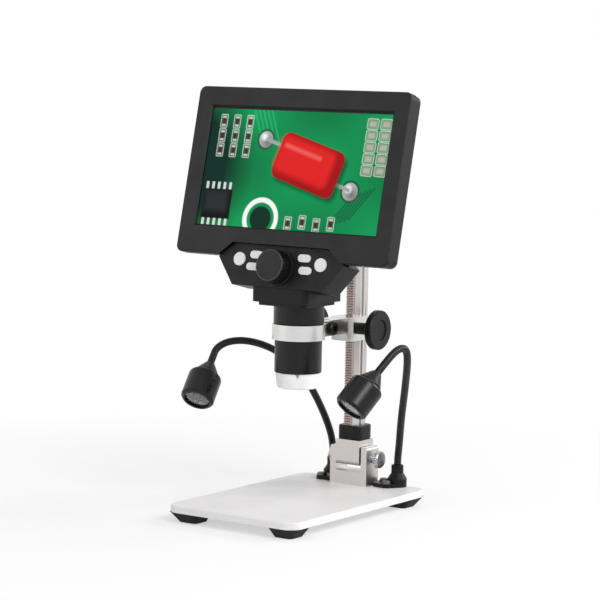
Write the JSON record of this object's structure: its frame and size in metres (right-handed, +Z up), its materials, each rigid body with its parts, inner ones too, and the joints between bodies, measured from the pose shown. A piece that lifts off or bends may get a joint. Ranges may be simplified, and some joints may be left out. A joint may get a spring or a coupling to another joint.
{
  "type": "digital microscope",
  "caption": "Digital microscope: lens tube under a leaning screen, on a rack and pinion column over a flat stand plate, with two lamps on bendable arms.",
  "frame": {"origin": "middle of the stand plate, on the surface that its feet rest on", "axes": "+Z up, +X to the right of someone who looks at the screen, +Y from the front edge of the plate to the column"},
  "size_m": [0.1808, 0.172, 0.3036],
  "materials": {
    "plate_paint": "satin",
    "silver_aluminium": "satin",
    "black_anodised": "satin",
    "steel": "satin",
    "rack_steel": "satin",
    "black_plastic": "satin",
    "panel_plastic": "satin",
    "key_rubber": "matte",
    "foot_rubber": "matte",
    "hose_rubber": "satin",
    "frosted_plastic": "frosted",
    "display": "glossy",
    "lens_glass": "clear",
    "board": "satin",
    "light_board": "satin",
    "reflector": "polished",
    "battery_wrap": "satin",
    "bronze": "satin"
  },
  "bodies": {
    "base": {"base_plate": "plate_paint", "rubber_feet": "foot_rubber", "foot_screws": "steel", "foot_bracket": "silver_aluminium", "bracket_screws": "steel", "tilt_clamp_nut": "steel", "left_lamp_base": "black_plastic", "right_lamp_base": "black_plastic", "lamp_base_screws": "steel"},
    "mast": {"tilt_block": "silver_aluminium", "column_collar": "black_plastic", "column": "silver_aluminium", "rack": "rack_steel", "column_cap": "black_plastic"},
    "clamp_screw": {"tilt_clamp_screw": "black_anodised"},
    "carriage": {"focus_carriage": "silver_aluminium"},
    "height_drive": {"pinion_shaft": "steel", "left_height_knob": "black_plastic", "right_height_knob": "black_plastic"},
    "ring_clamp": {"ring_clamp_screw": "black_anodised"},
    "head": {"lens_tube": "black_anodised", "tube_sleeve": "black_anodised", "diffuser_cap": "frosted_plastic", "led_ring_board": "light_board", "focus_bushing": "bronze", "screen_bezel": "black_plastic", "rear_housing": "black_plastic", "neck_flange": "black_plastic", "control_panel": "panel_plastic", "lcd_panel": "display", "main_board": "board", "battery": "battery_wrap", "button_board": "board", "sensor_board": "board", "housing_screws": "steel"},
    "lens": {"lens_barrel": "black_anodised", "objective_lens": "lens_glass", "lens_lifter": "steel"},
    "focus_drive": {"focus_knob": "black_plastic", "focus_shaft": "steel"},
    "left_arm": {"left_gooseneck": "hose_rubber"},
    "right_arm": {"right_gooseneck": "hose_rubber"},
    "left_lamp": {"left_lamp_cap": "black_plastic", "left_lamp_body": "black_anodised", "left_lamp_lens": "lens_glass", "left_lamp_led": "light_board", "left_lamp_reflector": "reflector"},
    "right_lamp": {"right_lamp_cap": "black_plastic", "right_lamp_body": "black_anodised", "right_lamp_lens": "lens_glass", "right_lamp_led": "light_board", "right_lamp_reflector": "reflector"},
    "left_round_key": {"left_round_button": "key_rubber"},
    "left_upper_key": {"left_upper_button": "key_rubber"},
    "left_lower_key": {"left_lower_button": "key_rubber"},
    "right_round_key": {"right_round_button": "key_rubber"},
    "right_upper_key": {"right_upper_button": "key_rubber"},
    "right_lower_key": {"right_lower_button": "key_rubber"}
  },
  "joints": [
    {"name": "column_tilt", "type": "hinge", "parent": "base", "child": "mast", "pos_m": [0, 0.0703, 0.0325], "axis": [1, 0, 0], "range_deg": [-8, 8]},
    {"name": "clamp_screw_turn", "type": "hinge", "parent": "base", "child": "clamp_screw", "pos_m": [0, 0.0703, 0.0325], "axis": [1, 0, 0], "range_deg": [-180, 180]},
    {"name": "carriage_slide", "type": "slide", "parent": "mast", "child": "carriage", "axis": [0, 0, 1], "range_m": [-0.016, 0.055]},
    {"name": "height_knob_turn", "type": "hinge", "parent": "carriage", "child": "height_drive", "pos_m": [0, 0.05604, 0.13001], "axis": [1, 0, 0], "range_deg": [-880, 290]},
    {"name": "ring_clamp_turn", "type": "hinge", "parent": "carriage", "child": "ring_clamp", "pos_m": [0, 0.0252, 0.1323], "axis": [1, 0, 0], "range_deg": [-180, 180]},
    {"name": "head_swivel", "type": "hinge", "parent": "carriage", "child": "head", "pos_m": [0, -0.0052, 0.1378], "axis": [0, 0, 1], "range_deg": [-35, 35]},
    {"name": "lens_slide", "type": "slide", "parent": "head", "child": "lens", "axis": [0, 0, 1], "range_m": [-0.006, 0.006]},
    {"name": "focus_knob_turn", "type": "hinge", "parent": "head", "child": "focus_drive", "pos_m": [0, -0.04239, 0.18165], "axis": [0, 0.9744, -0.225], "range_deg": [-90, 90]},
    {"name": "left_round_press", "type": "slide", "parent": "head", "child": "left_round_key", "axis": [0, 0.9744, -0.225], "range_m": [0, 0.0008], "stiffness_N_per_m": 400, "springref_m": -0.0008},
    {"name": "left_upper_press", "type": "slide", "parent": "head", "child": "left_upper_key", "axis": [0, 0.9744, -0.225], "range_m": [0, 0.0008], "stiffness_N_per_m": 400, "springref_m": -0.0008},
    {"name": "left_lower_press", "type": "slide", "parent": "head", "child": "left_lower_key", "axis": [0, 0.9744, -0.225], "range_m": [0, 0.0008], "stiffness_N_per_m": 400, "springref_m": -0.0008},
    {"name": "right_round_press", "type": "slide", "parent": "head", "child": "right_round_key", "axis": [0, 0.9744, -0.225], "range_m": [0, 0.0008], "stiffness_N_per_m": 400, "springref_m": -0.0008},
    {"name": "right_upper_press", "type": "slide", "parent": "head", "child": "right_upper_key", "axis": [0, 0.9744, -0.225], "range_m": [0, 0.0008], "stiffness_N_per_m": 400, "springref_m": -0.0008},
    {"name": "right_lower_press", "type": "slide", "parent": "head", "child": "right_lower_key", "axis": [0, 0.9744, -0.225], "range_m": [0, 0.0008], "stiffness_N_per_m": 400, "springref_m": -0.0008},
    {"name": "left_arm_bend", "type": "hinge", "parent": "base", "child": "left_arm", "pos_m": [-0.0255, 0.0805, 0.0331], "axis": [-0.8771, 0.4803, 0], "range_deg": [-6, 10]},
    {"name": "left_lamp_bend", "type": "hinge", "parent": "left_arm", "child": "left_lamp", "pos_m": [-0.07336, -0.0069, 0.10947], "axis": [-0.9759, -0.2181, 0], "range_deg": [-20, 20]},
    {"name": "right_arm_bend", "type": "hinge", "parent": "base", "child": "right_arm", "pos_m": [0.0315, 0.0805, 0.0331], "axis": [-0.8992, -0.4375, 0], "range_deg": [-6, 10]},
    {"name": "right_lamp_bend", "type": "hinge", "parent": "right_arm", "child": "right_lamp", "pos_m": [0.07414, -0.00713, 0.11597], "axis": [-0.9397, 0.342, 0], "range_deg": [-20, 20]}
  ],
  "couplings": [
    {"joint": "height_knob_turn", "follows": "carriage_slide", "rad_per_m": -277.78},
    {"joint": "focus_knob_turn", "follows": "lens_slide", "rad_per_m": -250}
  ]
}
